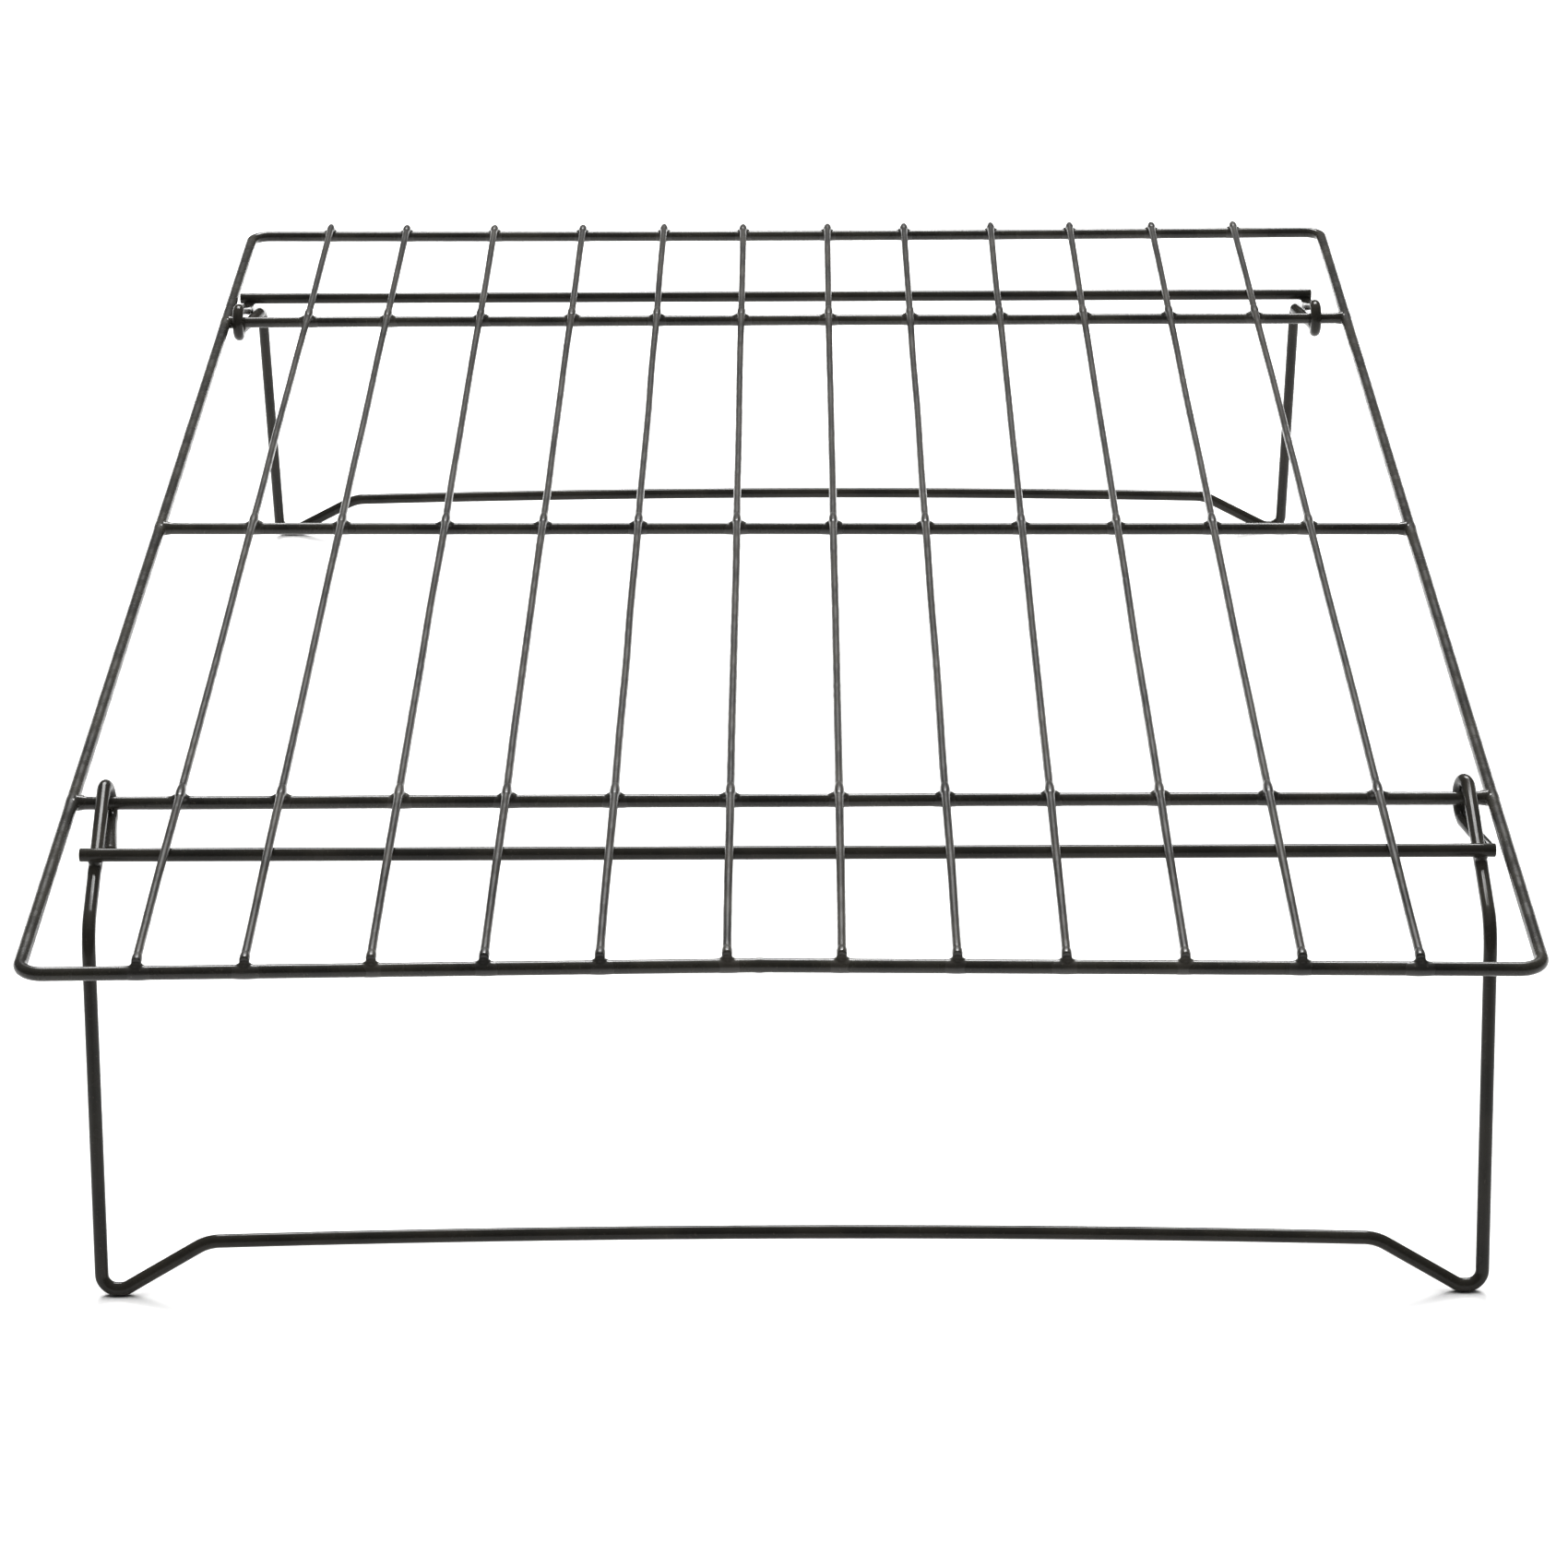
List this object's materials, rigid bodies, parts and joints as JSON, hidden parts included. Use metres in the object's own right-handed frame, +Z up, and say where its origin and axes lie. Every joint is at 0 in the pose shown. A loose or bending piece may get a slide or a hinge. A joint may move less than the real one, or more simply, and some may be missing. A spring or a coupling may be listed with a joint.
{
  "type": "folding cooling rack",
  "caption": "Black coated wire cooling rack: a rectangular grid of thin wires on a thicker wire frame, standing on two folding wire legs.",
  "frame": {"origin": "on the table under the middle of the grid, with the legs out", "axes": "+X to the right along the front bar, +Y from the front bar to the back bar along the grid wires, +Z up"},
  "size_m": [0.25, 0.4, 0.0735],
  "materials": {
    "frame_coating": "satin black baked coating on steel wire",
    "grid_wire_coating": "satin dark grey-black baked coating on thin steel wire",
    "leg_coating": "semi-gloss black baked coating on steel wire"
  },
  "bodies": {
    "grid": {"perimeter_frame": "frame_coating", "front_pivot_wire": "frame_coating", "centre_cross_wire": "frame_coating", "rear_pivot_wire": "frame_coating", "grid_wire_01": "grid_wire_coating", "grid_wire_02": "grid_wire_coating", "grid_wire_03": "grid_wire_coating", "grid_wire_04": "grid_wire_coating", "grid_wire_05": "grid_wire_coating", "grid_wire_06": "grid_wire_coating", "grid_wire_07": "grid_wire_coating", "grid_wire_08": "grid_wire_coating", "grid_wire_09": "grid_wire_coating", "grid_wire_10": "grid_wire_coating", "grid_wire_11": "grid_wire_coating", "grid_wire_12": "grid_wire_coating"},
    "front_leg": {"front_leg_wire": "leg_coating", "front_stop_bar": "leg_coating"},
    "rear_leg": {"rear_leg_wire": "leg_coating", "rear_stop_bar": "leg_coating"}
  },
  "joints": [
    {"name": "front_leg_fold", "type": "hinge", "parent": "grid", "child": "front_leg", "pos_m": [0, -0.1295, 0.0693], "axis": [1, 0, 0], "range_deg": [0, 125]},
    {"name": "rear_leg_fold", "type": "hinge", "parent": "grid", "child": "rear_leg", "pos_m": [0, 0.1357, 0.0693], "axis": [-1, 0, 0], "range_deg": [0, 125]}
  ]
}
